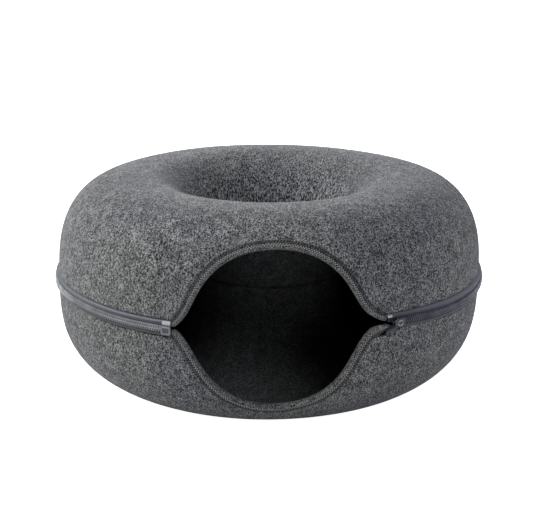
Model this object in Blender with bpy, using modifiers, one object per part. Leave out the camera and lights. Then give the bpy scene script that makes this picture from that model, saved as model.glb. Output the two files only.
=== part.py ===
"""Felt cat cave: two moulded felt halves form a hollow ring round an open well.

A coil zip joins the halves round the outside, and a felt band binds the entrance in the front.
Lengths are in metres, +Z is up, and the entrance faces -Y. Each piece is first laid out around
the ring's upright axis, with angles measured from the entrance, positive towards +X.
"""

import math

import bmesh
import bpy
from mathutils import Vector

# Driving dimensions.
HEIGHT = 0.280
ZIP_RADIUS = 0.300  # the whole cave is 0.600 across, at the zip
FELT_RADIUS = 0.2944  # outer face of the felt, at mid-height
MIDDLE = 0.1462  # height of the widest ring and of the well's seam
CREST_RADIUS = 0.1872  # where the top is highest
FOOT_RADIUS = 0.1957  # middle of the ring that it rests on
WELL_RADIUS = 0.100
FELT = 0.0040  # felt thickness
SQUASH = 0.0012  # how far its own weight has flattened the foot
GAP = 0.0003  # left between pieces that touch

# The ring's section in four quarters, each a power curve from its side to its crest or foot.
# Columns: name, middle radius, side radius, rise, side power, top power.
QUARTERS = {
    "upper_outer": (CREST_RADIUS, FELT_RADIUS, HEIGHT - MIDDLE, 2.48, 2.80),
    "upper_well": (CREST_RADIUS, WELL_RADIUS, HEIGHT - MIDDLE, 2.68, 2.80),
    "lower_outer": (FOOT_RADIUS, FELT_RADIUS, -MIDDLE - SQUASH, 1.57, 3.21),
    "lower_well": (FOOT_RADIUS, WELL_RADIUS, -MIDDLE - SQUASH, 1.90, 3.21),
}
FINE_POINTS = 600  # on the curve from which a quarter's own points are taken
OUTER_STEPS = 9  # segments kept on an outer quarter
WELL_STEPS = 7  # segments kept on a quarter in the well
RING_STEPS = 48  # segments round the ring

# The felt stops above and below the middle, where the zip bridges the gap.
UPPER_FELT_EDGE = 0.0100
LOWER_FELT_EDGE = -0.0130

# The entrance, unrolled on the felt: a round arch that flares into a pointed corner.
# Columns: half, side, middle across, half width, half height, roundness, flare, flare reach.
ENTRANCE = (
    ("upper", -1, 0.0000, 0.1065, 0.1066, 2.0, 0.0230, 0.015),
    ("upper", 1, 0.0000, 0.1065, 0.1066, 2.0, 0.0500, 0.014),
    ("lower", -1, -0.0057, 0.0980, 0.1064, 1.8, 0.0250, 0.020),
    ("lower", 1, -0.0057, 0.1060, 0.1064, 2.0, 0.0246, 0.0195),
)
ARCH_POINTS = 14  # on each quarter of the entrance
FLARE_FADE = 8  # power with which a flare fades out towards the arch's middle
CUT_REACH = 0.025  # how far the cut goes to both sides of the wall
CUT_LEVELS = (0.0015, -0.0060)  # just outside and inside the felt, where the cut bends
CORNER_HEIGHT = 0.0050  # where the arch starts, above and below the middle

# The binding: a folded strip round the felt's edge.
BINDING = 0.0012  # its cloth
BINDING_FACE = 0.0105  # width on the outside
BINDING_BACK = 0.0080  # width on the inside
BACK_SLACK = 0.0018  # how loosely the inner flap lies
# The binding's tips run on past the arch and close its corners, up to the zip's fittings.
# Columns for each point, from the tip inwards: edge across and up, outer border across and up.
TIPS = {
    ("upper", -1): (
        (-0.1294, 0.0012, -0.1312, 0.0075),
        (-0.1262, 0.0016, -0.1312, 0.0105),
    ),
    ("upper", 1): (),
    ("lower", -1): (
        (-0.1296, -0.0027, -0.1313, -0.0075),
        (-0.1262, -0.0033, -0.1313, -0.0102),
    ),
    ("lower", 1): (
        (0.1480, -0.0010, 0.1490, -0.0030),
        (0.1400, -0.0003, 0.1420, -0.0062),
        (0.1320, -0.0003, 0.1350, -0.0100),
        (0.1248, -0.0013, 0.1312, -0.0140),
    ),
}

# The zip. Each tape's section is listed from its sewn edge to its free edge.
TAPE = 0.0010
# Columns: radius less FELT_RADIUS, height over MIDDLE.
UPPER_TAPE = (
    (-0.0062, 0.0190),
    (-0.0058, 0.0103),
    (-0.0044, 0.0087),
    (-0.0009, 0.0078),
    (0.0030, 0.0059),
    (0.0047, 0.0031),
    (0.0042, 0.0009),
)
LOWER_TAPE = (
    (0.0042, -0.0061),
    (0.0045, -0.0082),
    (0.0032, -0.0106),
    (-0.0009, -0.0118),
    (-0.0043, -0.0119),
    (-0.0058, -0.0136),
    (-0.0065, -0.0220),
)
TAPE_STEPS = 48
CHAIN_HEIGHT = 0.0062
CHAIN_DEPTH = 0.0028
CHAIN_MIDDLE = -0.0026  # height of the closed teeth over MIDDLE
SEWN_POINTS = 3  # of a tape's section, held by the felt where the free edges part
WEDGE_ANGLE = 30.5  # where the slider's wedge parts the free edges
WEDGE_SPREAD = 0.0026
END_SPREAD = 0.0042
# Angles from the entrance, in degrees.
LEFT_TAPE_END = -25.8
LEFT_CHAIN_END = -26.0
END_BOX_MIDDLE = -27.0
RIGHT_UPPER_TAPE_END = 28.9
RIGHT_LOWER_TAPE_END = 27.4
SLIDER_MIDDLE = 31.2
RIGHT_CHAIN_END = 30.8
CLOSED_ANGLE = 31.9  # from here on the free edges are held together

END_BOX = (0.0120, 0.0024, 0.0110)  # along the zip, outwards, up
END_BOX_EDGE = 0.0006
SLIDER = (0.0150, 0.0060, 0.0090)
SLIDER_EDGE = 0.0003
SLIDER_WALL = 0.0012
SLIDER_WEDGE = 0.0030  # the closed end that parts the teeth
PULL_RADIUS = 0.0036
PULL_WIRE = 0.0007

# The cave leans a little to the right and its crest is slightly uneven. Columns: how far the
# top moves in X, Y and Z at each of the cage's four corners, left front to right back.
CAGE_WIDTH = 0.660
LEAN = (
    (0.0036, 0.0000, 0.0004),
    (0.0036, 0.0000, -0.0004),
    (0.0036, 0.0008, -0.0003),
    (0.0036, 0.0008, 0.0003),
)

FELT_GREY = (0.150, 0.152, 0.158, 1.0)
BINDING_GREY = (0.115, 0.116, 0.120, 1.0)
TAPE_GREY = (0.170, 0.175, 0.200, 1.0)
COIL_GREY = (0.330, 0.335, 0.370, 1.0)
CLIP_WHITE = (0.550, 0.560, 0.600, 1.0)
METAL_GREY = (0.250, 0.255, 0.275, 1.0)


def material(name, colour, roughness, metallic=0.0):
    made = bpy.data.materials.new(name)
    made.use_nodes = True
    shader = made.node_tree.nodes["Principled BSDF"]
    shader.inputs["Base Color"].default_value = colour
    shader.inputs["Roughness"].default_value = roughness
    shader.inputs["Metallic"].default_value = metallic
    return made


def quarter(name):
    """Fine points (radius, height) of one quarter, from its side to its crest or foot."""
    middle, side, rise, side_power, top_power = QUARTERS[name]
    points = []
    for i in range(FINE_POINTS + 1):
        turn = 0.5 * math.pi * i / FINE_POINTS
        radius = middle + (side - middle) * max(math.cos(turn), 0.0) ** (2 / side_power)
        height = MIDDLE + rise * math.sin(turn) ** (2 / top_power)
        points.append((radius, height))
    return points


def lengths(points):
    """Distance along the points at each of them."""
    run = [0.0]
    for a, b in zip(points, points[1:]):
        run.append(run[-1] + math.dist(a, b))
    return run


def at_length(points, run, distance):
    """The point at a distance along the points."""
    i = 1
    while i < len(run) - 1 and run[i] < distance:
        i += 1
    share = (distance - run[i - 1]) / (run[i] - run[i - 1])
    return tuple(a + (b - a) * share for a, b in zip(points[i - 1], points[i]))


def evenly(points, count):
    """The same curve in count equal steps."""
    run = lengths(points)
    return [at_length(points, run, run[-1] * i / count) for i in range(count + 1)]


def outer_wall(half):
    """One half's outer curve with its running length, from the middle outwards."""
    points = quarter(half + "_outer")
    return points, lengths(points)


OUTER_WALL = {"upper": outer_wall("upper"), "lower": outer_wall("lower")}
STEP = 0.0005  # for slopes along the wall


def around(radius, angle, height):
    """A point at an angle from the entrance, in radians."""
    return Vector((radius * math.sin(angle), -radius * math.cos(angle), height))


def on_felt(across, up, lift=0.0):
    """The point of the outer wall at a distance across and up from the entrance's middle,
    lifted off the felt."""
    points, run = OUTER_WALL["upper" if up >= 0 else "lower"]
    radius, height = at_length(points, run, abs(up))
    further, higher = at_length(points, run, abs(up) + STEP)
    direction = 1 if up >= 0 else -1
    slope_out, slope_up = (further - radius) * direction, (higher - height) * direction
    steep = math.hypot(slope_out, slope_up)
    radius_lifted = radius + lift * slope_up / steep
    height_lifted = height - lift * slope_out / steep
    return around(radius_lifted, across / radius, height_lifted)


def wrap(bm):
    """Bends a mesh that was laid out flat, as (across, up, lift), onto the outer wall."""
    for vert in bm.verts:
        vert.co = on_felt(*vert.co)


def entrance_quarter(half, side):
    """One quarter of the entrance's edge (across, up), from its corner to the arch's middle."""
    row = next(r for r in ENTRANCE if r[:2] == (half, side))
    middle, width, height, power, flare, reach = row[2:]
    upward = 1 if half == "upper" else -1
    start = math.asin((CORNER_HEIGHT / height) ** (power / 2))
    points = []
    for i in range(ARCH_POINTS + 1):
        turn = start + (0.5 * math.pi - start) * i / ARCH_POINTS
        up = height * math.sin(turn) ** (2 / power)
        arch = width * max(math.cos(turn), 0.0) ** (2 / power)
        corner = flare * math.exp(-up / reach)
        # The flare fades out before the arch's middle, where the two sides meet.
        across = middle + side * (arch + corner * (1 - (up / height) ** FLARE_FADE))
        points.append((across, up * upward))
    return points


def entrance_edge(half):
    """The edge of one half's arch, from the left corner to the right corner."""
    left, right = entrance_quarter(half, -1), entrance_quarter(half, 1)
    return left + right[-2::-1]


def beside(edge, upward):
    """For each point of an edge, the direction on the felt that leads away from the opening."""
    normals = []
    for i in range(len(edge)):
        before, after = edge[max(i - 1, 0)], edge[min(i + 1, len(edge) - 1)]
        along = Vector((after[0] - before[0], after[1] - before[1])).normalized()
        normals.append(Vector((-along.y, along.x)) * upward)
    return normals


def new_object(name, mesh, finish, collection):
    made = bpy.data.objects.new(name, mesh)
    if finish:
        mesh.materials.append(finish)
    collection.objects.link(made)
    return made


def finish_mesh(name, bm):
    mesh = bpy.data.meshes.new(name)
    bmesh.ops.recalc_face_normals(bm, faces=bm.faces)
    bm.to_mesh(mesh)
    bm.free()
    mesh.shade_smooth()
    return mesh


def felt_half(name, profile, finish, collection, cutter):
    """Turns a half's outer profile round the ring, thickens it inwards and cuts the entrance."""
    bm = bmesh.new()
    verts = [bm.verts.new((radius, 0.0, height)) for radius, height in profile]
    for a, b in zip(verts, verts[1:]):
        bm.edges.new((a, b))
    mesh = bpy.data.meshes.new(name)
    bm.to_mesh(mesh)
    bm.free()
    made = new_object(name, mesh, finish, collection)
    turn = made.modifiers.new("ring", "SCREW")
    turn.axis = "Z"
    turn.angle = 2 * math.pi
    turn.steps = turn.render_steps = RING_STEPS
    turn.use_merge_vertices = True
    turn.merge_threshold = 0.0001
    turn.use_smooth_shade = True
    thicken = made.modifiers.new("felt", "SOLIDIFY")
    thicken.thickness = FELT
    thicken.offset = -1.0
    thicken.use_even_offset = True
    cut = made.modifiers.new("entrance", "BOOLEAN")
    cut.operation = "DIFFERENCE"
    cut.solver = "EXACT"
    cut.object = cutter
    return made


def upper_profile():
    """From the well's seam over the crest and down to the zip."""
    well = quarter("upper_well")
    well[0] = (WELL_RADIUS, MIDDLE + GAP / 2)
    outer = [p for p in quarter("upper_outer") if p[1] >= MIDDLE + UPPER_FELT_EDGE]
    return evenly(well, WELL_STEPS) + evenly(outer, OUTER_STEPS)[-2::-1]


def lower_profile():
    """From the zip down to the flat foot and up to the well's seam."""
    outer = [p for p in quarter("lower_outer") if 0.0 <= p[1] <= MIDDLE + LOWER_FELT_EDGE]
    outer.append((outer[-1][0], 0.0))
    well = [p for p in quarter("lower_well") if p[1] >= 0.0]
    well[0] = (WELL_RADIUS, MIDDLE - GAP / 2)
    well.append((well[-1][0], 0.0))
    return evenly(outer, OUTER_STEPS) + evenly(well, WELL_STEPS)[::-1]


def entrance_cutter(collection):
    """A thick patch of the wall, with sides square to the felt, in the entrance's outline."""
    ring = []
    for half, upward in (("upper", 1), ("lower", -1)):
        edge = entrance_edge(half)
        moved = [
            (p[0] + n.x * (GAP + BINDING), p[1] + n.y * (GAP + BINDING))
            for p, n in zip(edge, beside(edge, upward))
        ]
        ring += moved if half == "upper" else moved[::-1]
    bm = bmesh.new()
    outline = bm.faces.new([bm.verts.new((*p, CUT_REACH)) for p in ring])
    deep = bmesh.ops.extrude_face_region(bm, geom=[outline])["geom"]
    deep_verts = [v for v in deep if isinstance(v, bmesh.types.BMVert)]
    bmesh.ops.translate(bm, verts=deep_verts, vec=(0.0, 0.0, -2 * CUT_REACH))
    for level in CUT_LEVELS:
        whole = bm.verts[:] + bm.edges[:] + bm.faces[:]
        bmesh.ops.bisect_plane(bm, geom=whole, plane_co=(0, 0, level), plane_no=(0, 0, 1))
    bmesh.ops.poke(bm, faces=[f for f in bm.faces if len(f.verts) > 4])
    wrap(bm)
    cutter = new_object("entrance_cutter", finish_mesh("entrance_cutter", bm), None, collection)
    cutter.hide_render = True
    cutter.display_type = "WIRE"
    return cutter


def strip(name, place, along, across, thickness, finish, collection):
    """A sheet whose grid of points is placed by a function of two shares, then thickened to
    both sides."""
    bm = bmesh.new()
    bmesh.ops.create_grid(bm, x_segments=along, y_segments=across, size=0.5)
    for vert in bm.verts:
        vert.co = place(vert.co.x + 0.5, vert.co.y + 0.5)
    made = new_object(name, finish_mesh(name, bm), finish, collection)
    thicken = made.modifiers.new("cloth", "SOLIDIFY")
    thicken.thickness = thickness
    thicken.offset = 0.0
    thicken.use_even_offset = True
    return made


def binding_tip(half, side):
    """One tip of a binding: its edge points, each with the way across the face to the border."""
    points = []
    for across, up, border_across, border_up in TIPS[half, side]:
        edge = Vector((across, up))
        points.append((edge, Vector((border_across, border_up)) - edge))
    return points


def binding(half, finish, collection):
    """The strip that is folded round one half of the entrance, as sewn: a face, an edge and a
    back."""
    upward = 1 if half == "upper" else -1
    edge = entrance_edge(half)
    arch = [(Vector(p), n * BINDING_FACE) for p, n in zip(edge, beside(edge, upward))]
    path = binding_tip(half, -1) + arch + binding_tip(half, 1)[::-1]
    face_lift = GAP + BINDING / 2
    back_lift = -FELT - BACK_SLACK - BINDING / 2
    fold = BINDING / 2 / BINDING_FACE
    # Columns: share of the face's width from the entrance's edge, lift off the felt.
    section = (
        (1.0, face_lift),
        (0.5, face_lift),
        (fold, face_lift),
        (fold, back_lift),
        (BINDING_BACK / BINDING_FACE, back_lift),
    )

    def place(u, v):
        edge_point, face = path[round(u * (len(path) - 1))]
        share, lift = section[round(v * (len(section) - 1))]
        across, up = edge_point + face * share
        return on_felt(across, up, lift)

    rows, columns = len(path) - 1, len(section) - 1
    return strip(half + "_binding", place, rows, columns, BINDING, finish, collection)


def zip_tape(half, finish, collection):
    """One tape, from the right corner of the entrance round the back to the left corner."""
    section = UPPER_TAPE if half == "upper" else LOWER_TAPE
    free_first = half == "lower"
    start = RIGHT_UPPER_TAPE_END if half == "upper" else RIGHT_LOWER_TAPE_END
    upward = 1 if half == "upper" else -1
    finish_angle = 360.0 + LEFT_TAPE_END
    # The parted stretch. Columns: angle, spread.
    parted = ((start, END_SPREAD), (WEDGE_ANGLE, WEDGE_SPREAD), (CLOSED_ANGLE, 0.0))
    whole_steps = TAPE_STEPS - len(parted) + 1

    def place(u, v):
        step = round(u * TAPE_STEPS)
        if step < len(parted):
            angle, spread = parted[step]
        else:
            share = (step - len(parted) + 1) / whole_steps
            angle, spread = CLOSED_ANGLE + (finish_angle - CLOSED_ANGLE) * share, 0.0
        column = round(v * (len(section) - 1))
        out, up = section[column]
        from_sewn = len(section) - 1 - column if free_first else column
        freedom = max(from_sewn - SEWN_POINTS, 0) / (len(section) - 1 - SEWN_POINTS)
        up += upward * spread * freedom
        return around(FELT_RADIUS + out, math.radians(angle), MIDDLE + up)

    columns = len(section) - 1
    return strip(half + "_zip_tape", place, TAPE_STEPS, columns, TAPE, finish, collection)


def zip_chain(finish, collection):
    """The closed teeth: a bar of rounded section, bent round the ring."""
    route = bpy.data.curves.new("zip_chain", "CURVE")
    route.dimensions = "3D"
    route.extrude = (CHAIN_HEIGHT - CHAIN_DEPTH) / 2
    route.bevel_depth = CHAIN_DEPTH / 2
    route.bevel_resolution = 1
    route.use_fill_caps = True
    line = route.splines.new("POLY")
    line.points.add(TAPE_STEPS)
    radius = ZIP_RADIUS - CHAIN_DEPTH / 2
    sweep = 360.0 + LEFT_CHAIN_END - RIGHT_CHAIN_END
    for i, point in enumerate(line.points):
        angle = math.radians(RIGHT_CHAIN_END + sweep * i / TAPE_STEPS)
        point.co = (*around(radius, angle, MIDDLE + CHAIN_MIDDLE), 1.0)
    made = bpy.data.objects.new("zip_chain", route)
    route.materials.append(finish)
    collection.objects.link(made)
    return made


def on_zip(made, angle, radius, height):
    """Sets a small fitting on the zip, with its own +Y pointing out of the ring."""
    turn = math.radians(angle)
    made.location = around(radius, turn, height)
    made.rotation_euler = (0.0, 0.0, turn + math.pi)


def rounded(made, width):
    edge = made.modifiers.new("edges", "BEVEL")
    edge.width = width
    edge.segments = 2
    edge.limit_method = "ANGLE"


def end_box(finish, collection):
    """The moulded clip over the end of the teeth."""
    bm = bmesh.new()
    bmesh.ops.create_cube(bm, size=1.0)
    bmesh.ops.scale(bm, vec=END_BOX, verts=bm.verts)
    made = new_object("zip_end_box", finish_mesh("zip_end_box", bm), finish, collection)
    rounded(made, END_BOX_EDGE)
    radius = ZIP_RADIUS + GAP + END_BOX[1] / 2
    on_zip(made, END_BOX_MIDDLE, radius, MIDDLE + CHAIN_MIDDLE)
    return made


def slider(finish, collection):
    """Two plates with a wedge between them at the open end; the teeth run through."""
    length, depth, height = SLIDER
    # The outline seen from above: the open end of the C takes the closed teeth.
    front, back = depth / 2, -depth / 2
    shut, mouth = length / 2, -length / 2
    outline = (
        (mouth, front),
        (mouth, front - SLIDER_WALL),
        (shut - SLIDER_WEDGE, front - SLIDER_WALL),
        (shut - SLIDER_WEDGE, back + SLIDER_WALL),
        (mouth, back + SLIDER_WALL),
        (mouth, back),
        (shut, back),
        (shut, front),
    )
    bm = bmesh.new()
    sole = bm.faces.new([bm.verts.new((x, y, -height / 2)) for x, y in outline])
    rise = bmesh.ops.extrude_face_region(bm, geom=[sole])["geom"]
    top = [v for v in rise if isinstance(v, bmesh.types.BMVert)]
    bmesh.ops.translate(bm, verts=top, vec=(0.0, 0.0, height))
    made = new_object("zip_slider", finish_mesh("zip_slider", bm), finish, collection)
    rounded(made, SLIDER_EDGE)
    radius = ZIP_RADIUS + GAP + SLIDER_WALL - depth / 2
    on_zip(made, SLIDER_MIDDLE, radius, MIDDLE + CHAIN_MIDDLE)
    return made


def pull_ring(finish, collection):
    """The wire ring that lies against the slider's face."""
    bpy.ops.mesh.primitive_torus_add(
        major_segments=20,
        minor_segments=6,
        major_radius=PULL_RADIUS,
        minor_radius=PULL_WIRE,
        rotation=(0.5 * math.pi, 0.0, 0.0),
    )
    made = bpy.context.object
    made.name = made.data.name = "zip_pull"
    bpy.ops.object.transform_apply(location=False, rotation=True, scale=False)
    made.data.materials.append(finish)
    made.data.shade_smooth()
    for old in list(made.users_collection):
        old.objects.unlink(made)
    collection.objects.link(made)
    radius = ZIP_RADIUS + GAP + SLIDER_WALL + GAP + PULL_WIRE
    on_zip(made, SLIDER_MIDDLE, radius, MIDDLE + CHAIN_MIDDLE)
    return made


def leaning_cage(collection):
    """A cage around the cave. Its base stays put and its top leans, so every piece leans alike."""
    cage = bpy.data.lattices.new("lean")
    cage.points_u, cage.points_v, cage.points_w = 2, 2, 2
    for kind in ("interpolation_type_u", "interpolation_type_v", "interpolation_type_w"):
        setattr(cage, kind, "KEY_LINEAR")
    made = bpy.data.objects.new("lean", cage)
    made.scale = (CAGE_WIDTH, CAGE_WIDTH, HEIGHT)
    made.location = (0.0, 0.0, HEIGHT / 2)
    collection.objects.link(made)
    top_points = list(cage.points)[4:]
    for point, (x, y, z) in zip(top_points, LEAN):
        point.co_deform = point.co + Vector((x / CAGE_WIDTH, y / CAGE_WIDTH, z / HEIGHT))
    return made


def stand_on_origin(pieces, root):
    """Moves the cave so that the middle of its plan is over the origin."""
    graph = bpy.context.evaluated_depsgraph_get()
    points = []
    for piece in pieces:
        seen = piece.evaluated_get(graph)
        points += [seen.matrix_world @ v.co for v in seen.to_mesh().vertices]
        seen.to_mesh_clear()
    for axis in (0, 1):
        low = min(p[axis] for p in points)
        high = max(p[axis] for p in points)
        root.location[axis] = -(low + high) / 2


def build():
    for old in list(bpy.data.objects):
        bpy.data.objects.remove(old, do_unlink=True)
    cave = bpy.data.collections.new("felt_cat_cave")
    guides = bpy.data.collections.new("cutters")
    for collection in (cave, guides):
        bpy.context.scene.collection.children.link(collection)

    felt = material("felt", FELT_GREY, 0.95)
    band = material("binding_felt", BINDING_GREY, 0.95)
    woven = material("zip_tape_cloth", TAPE_GREY, 0.80)
    teeth = material("zip_coil", COIL_GREY, 0.45)
    clip = material("clear_clip", CLIP_WHITE, 0.35)
    metal = material("zip_metal", METAL_GREY, 0.40, 0.9)

    cutter = entrance_cutter(guides)
    cage = leaning_cage(guides)
    pieces = [
        felt_half("upper_shell", upper_profile(), felt, cave, cutter),
        felt_half("lower_shell", lower_profile(), felt, cave, cutter),
        binding("upper", band, cave),
        binding("lower", band, cave),
        zip_tape("upper", woven, cave),
        zip_tape("lower", woven, cave),
        zip_chain(teeth, cave),
        end_box(clip, cave),
        slider(metal, cave),
        pull_ring(metal, cave),
    ]
    root = bpy.data.objects.new("cave_middle", None)
    cave.objects.link(root)
    cutter.parent = root
    cage.parent = root
    for piece in pieces:
        lean = piece.modifiers.new("lean", "LATTICE")
        lean.object = cage
        piece.parent = root
    stand_on_origin(pieces, root)


build()
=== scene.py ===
"""Felt cat cave, dressed for close view.

Two moulded felt halves form a hollow ring round an open well. A felt band binds the entrance, and
a coil zip joins the halves round the outside. Lengths are in metres, +Z is up, and the entrance
faces -Y. Each piece is laid out round the ring's upright axis, with angles measured from the
entrance, positive towards +X, and then put in its place by settle().
"""

import bisect
import math

import bmesh
import bpy
from mathutils import Matrix, Vector, noise


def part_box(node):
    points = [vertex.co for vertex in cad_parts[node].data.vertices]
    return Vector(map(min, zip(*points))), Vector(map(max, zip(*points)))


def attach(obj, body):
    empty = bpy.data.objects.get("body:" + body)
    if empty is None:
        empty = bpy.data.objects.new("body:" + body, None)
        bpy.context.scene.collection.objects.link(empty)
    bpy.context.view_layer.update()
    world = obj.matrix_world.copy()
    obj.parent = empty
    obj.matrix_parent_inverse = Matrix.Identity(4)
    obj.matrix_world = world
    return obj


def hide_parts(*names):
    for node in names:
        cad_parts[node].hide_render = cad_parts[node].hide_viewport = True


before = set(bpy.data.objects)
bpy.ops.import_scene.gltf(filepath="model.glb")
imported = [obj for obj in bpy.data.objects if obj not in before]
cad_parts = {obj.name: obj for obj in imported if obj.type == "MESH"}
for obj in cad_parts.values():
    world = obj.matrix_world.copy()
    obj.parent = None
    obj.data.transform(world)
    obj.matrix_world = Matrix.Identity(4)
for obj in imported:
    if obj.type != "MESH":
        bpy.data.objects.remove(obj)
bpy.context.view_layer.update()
scene = bpy.context.scene

# ---------------------------------------------
# The upper half: one sheet of 4 mm needled felt, pressed over a ring-shaped mould. It runs from
# the well's seam over the crest and down the outside, and its lower edge is sewn to the zip.

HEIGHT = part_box("upper_shell")[1].z
chain_low, chain_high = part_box("zip_chain")
ZIP_RADIUS = (chain_high.x - chain_low.x) / 2
MIDDLE = 0.1462  # height of the widest ring and of the well's seam
TEETH_PROUD = 0.0055  # how far the zip's teeth stand out from the felt
FELT_RADIUS = ZIP_RADIUS - TEETH_PROUD
CREST_RADIUS = 0.1872  # where the top is highest
FOOT_RADIUS = 0.1957  # middle of the ring that it rests on
WELL_RADIUS = 0.100
FELT = 0.0040
LEAN = 0.0036  # how far the top leans to the right
BACK_PLAY = 0.0001  # between the teeth's widest ring and the chain's box
AXIS = Vector(
    ((chain_low.x + chain_high.x - LEAN) / 2, chain_high.y - ZIP_RADIUS - BACK_PLAY, 0.0)
)
SETTLING = 0.0011  # how far the soft felt has settled out of its moulded shape
SETTLING_SIZE = 0.15  # and over what distance that changes
SETTLED_BELOW = 0.25  # of the height: from there down to the floor the settling fades out
noise.seed_set(28)  # the same settling each run
CURVE_POINTS = 600
RING_STEPS = 240
OUTER_STEPS = 44
WELL_STEPS = 34
FOLD_STEPS = 4  # round the felt's own edge
EDGE_BULGE = 0.0012  # how far that edge is rounded
UPPER_FELT_EDGE = 0.0100  # over MIDDLE
EDGE_REACH = 0.020  # how far from its edge the felt follows the zip
ZIP_RISE = 0.0054  # how far the zip climbs towards the slider
ZIP_RISE_ANGLE, ZIP_RISE_REACH = 29, 13.0  # degrees
FELT_RISE = 0.65  # how much of that the upper felt's edge follows
UPPER_DROP = 0.0013  # how much lower the upper felt's edge is at the left than at the front
FRONT_DROP = 0.6  # how much of that it has at the front
SEAM_GAP = -0.0002  # the sewing has drawn the edges together
LUMP = 0.00018  # the felt's own lumps
LUMP_SIZE = 0.011
# The inner face's finish is a darker copy of the felt: painted shade.
OUTER_FACING = 0.4  # faces that point less outwards than this have the inner face's finish
SHARP_EDGE = 50  # degrees


def section_curve(middle, side, rise, side_power, top_power):
    """Points (radius, height) of a quarter of the ring's section, from its side to its crest."""
    points = []
    for i in range(CURVE_POINTS + 1):
        turn = 0.5 * math.pi * i / CURVE_POINTS
        radius = middle + (side - middle) * max(math.cos(turn), 0.0) ** (2 / side_power)
        points.append((radius, MIDDLE + rise * math.sin(turn) ** (2 / top_power)))
    return points


def lengths(points):
    """Distance along the points at each of them."""
    run = [0.0]
    for a, b in zip(points, points[1:]):
        run.append(run[-1] + math.dist(a, b))
    return run


def at_length(points, run, distance):
    """The point at a distance along the points, past their end too."""
    i = min(max(bisect.bisect_left(run, distance), 1), len(run) - 1)
    share = (distance - run[i - 1]) / (run[i] - run[i - 1])
    return tuple(a + (b - a) * share for a, b in zip(points[i - 1], points[i]))


def evenly(points, count, run=None):
    """The same curve in count equal steps."""
    run = run or lengths(points)
    return [at_length(points, run, run[-1] * i / count) for i in range(count + 1)]


def from_height(points, height):
    """A section curve from the point at a height on, towards its crest or foot."""
    i = next(k for k, p in enumerate(points) if abs(p[1] - MIDDLE) >= abs(height - MIDDLE))
    (radius, level), (further, higher) = points[i - 1 : i + 1]
    share = (height - level) / (higher - level)
    return [(radius + (further - radius) * share, height)] + points[i:]


def around(radius, angle, height):
    """A point at an angle from the entrance, in radians."""
    return Vector((radius * math.sin(angle), -radius * math.cos(angle), height))


def slopes_of(line):
    """The way that a line goes at each of its points."""
    neighbours = zip(line[:1] + line[:-1], line[1:] + line[-1:])
    return [(after - before).normalized() for before, after in neighbours]


def felt_section(face):
    """Closed outline of a felt sheet from its outer face: both faces and the rounded edges."""
    face = [Vector(p) for p in face]
    slopes = slopes_of(face)
    back = [p + Vector((s.y, -s.x)) * FELT for p, s in zip(face, slopes)]
    outline = list(face)
    for outer, inner, slope in ((face[-1], back[-1], slopes[-1]), (back[0], face[0], -slopes[0])):
        if outer is back[0]:
            outline += back[::-1]
        middle = (outer + inner) / 2
        for i in range(1, FOLD_STEPS):
            turn = math.pi * i / FOLD_STEPS
            bulge = slope * EDGE_BULGE * math.sin(turn)
            outline.append(middle + (outer - middle) * math.cos(turn) + bulge)
    return outline


def turned(bm, steps):
    """Everything in the mesh, turned once round the axis."""
    whole = bm.verts[:] + bm.edges[:]
    spin = {"cent": (0, 0, 0), "axis": (0, 0, 1), "angle": 2 * math.pi, "use_merge": True}
    bmesh.ops.spin(bm, geom=whole, steps=steps, **spin)
    bmesh.ops.recalc_face_normals(bm, faces=bm.faces)
    return bm


def ring_of(outline):
    """A closed outline turned once round the axis."""
    bm = bmesh.new()
    loop = [bm.verts.new((radius, 0.0, height)) for radius, height in outline]
    for a, b in zip(loop, loop[1:] + loop[:1]):
        bm.edges.new((a, b))
    return turned(bm, RING_STEPS)


def settle(bm):
    """Puts a piece in its place: the felt has settled a little, and the cave leans."""
    for vert in bm.verts:
        up = vert.co.z / HEIGHT
        drift = noise.noise_vector(vert.co / SETTLING_SIZE) * SETTLING
        drift.z *= min(max(up / SETTLED_BELOW, 0.0), 1.0)  # the foot stays flat on the floor
        vert.co += AXIS + drift + Vector((LEAN * up, 0.0, 0.0))


def new_object(name, bm):
    mesh = bpy.data.meshes.new(name)
    bm.to_mesh(mesh)
    bm.free()
    made = bpy.data.objects.new(name, mesh)
    scene.collection.objects.link(made)
    return made


def add_piece(name, bm, finish):
    """Makes the finished mesh a piece of the cave."""
    piece = new_object(name, bm)
    piece.data.shade_smooth()
    piece.data.materials.append(finish)
    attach(piece, "root")
    return piece


def tree_node(tree, kind, inputs=None, **settings):
    """Adds a shader node. Each input is a value or the output of another node."""
    made = tree.nodes.new(kind)
    for name, value in settings.items():
        setattr(made, name, value)
    for name, value in (inputs or {}).items():
        if isinstance(value, bpy.types.NodeSocket):
            tree.links.new(value, made.inputs[name])
        else:
            made.inputs[name].default_value = value
    return made


def new_finish(name):
    """A new material, with its node tree, its shader, and the place on the object."""
    made = bpy.data.materials.new(name)
    made.use_nodes = True
    tree = made.node_tree
    where = tree_node(tree, "ShaderNodeTexCoord").outputs["Object"]
    return made, tree, tree.nodes["Principled BSDF"], where


def cover(tree, colour, height, strength, distance):
    """Gives a finish its colour, and a relief from a height."""
    shader = tree.nodes["Principled BSDF"]
    tree.links.new(colour, shader.inputs["Base Color"])
    bump = tree_node(
        tree, "ShaderNodeBump", {"Height": height, "Strength": strength, "Distance": distance}
    )
    tree.links.new(bump.outputs["Normal"], shader.inputs["Normal"])


def ramp(tree, factor, *stops):
    """Colours by a factor. Each stop is (place, colour)."""
    made = tree_node(tree, "ShaderNodeValToRGB", {"Fac": factor})
    elements = made.color_ramp.elements
    while len(elements) < len(stops):
        elements.new(0.5)
    for element, (place, colour) in zip(elements, stops):
        element.position = place
        element.color = (*colour, 1.0)
    return made.outputs["Color"]


def grey(value):
    return (value, value, value)


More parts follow.
